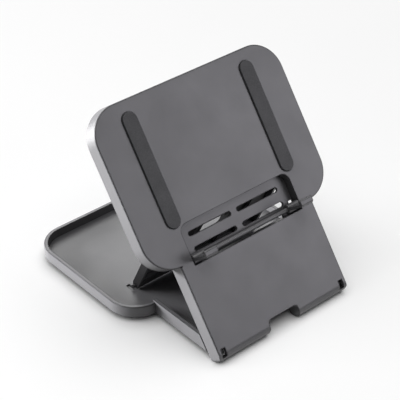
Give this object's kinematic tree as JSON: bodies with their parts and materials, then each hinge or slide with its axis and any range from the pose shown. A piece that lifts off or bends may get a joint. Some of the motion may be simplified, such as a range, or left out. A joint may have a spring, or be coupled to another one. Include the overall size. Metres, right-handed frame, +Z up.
{
  "type": "folding tablet stand",
  "caption": "Fold-flat desk stand: slotted back panel with a folding hooked ledge, hinged to a shallow tray base and propped by a rear strut.",
  "frame": {"origin": "on the table, at the centre of the open stand's footprint", "axes": "+Z up, +Y from the ledge towards the tray's rear, +X to the right of someone facing the stand"},
  "size_m": [0.13, 0.145, 0.1219],
  "materials": {
    "black_plastic": "fine satin moulded black plastic with a soft reflection",
    "rubber": "matte black rubber",
    "steel": "plain ground steel pin"
  },
  "bodies": {
    "base": {"base_tray": "black_plastic", "rubber_foot_front_left": "rubber", "rubber_foot_front_right": "rubber", "rubber_foot_rear_left": "rubber", "rubber_foot_rear_right": "rubber", "panel_hinge_pin_left": "steel", "panel_hinge_pin_right": "steel"},
    "panel": {"back_panel": "black_plastic", "rubber_strip_left": "rubber", "rubber_strip_right": "rubber", "strut_hinge_pin_left": "steel", "strut_hinge_pin_right": "steel", "ledge_pin_left": "steel", "ledge_pin_right": "steel"},
    "strut": {"support_strut": "black_plastic"},
    "ledge": {"folding_ledge": "black_plastic"}
  },
  "joints": [
    {"name": "panel_hinge", "type": "hinge", "parent": "base", "child": "panel", "pos_m": [0, -0.05687, 0.01325], "axis": [1, 0, 0], "range_deg": [-53.3, 0]},
    {"name": "strut_hinge", "type": "hinge", "parent": "panel", "child": "strut", "pos_m": [0, -0.02329, 0.06307], "axis": [1, 0, 0], "range_deg": [0, 118.1]},
    {"name": "ledge_hinge", "type": "hinge", "parent": "panel", "child": "ledge", "pos_m": [0, -0.03986, 0.04786], "axis": [1, 0, 0], "range_deg": [-90, 0]}
  ],
  "couplings": [
    {"joint": "strut_hinge", "follows": "panel_hinge", "ratio": -2.214}
  ]
}
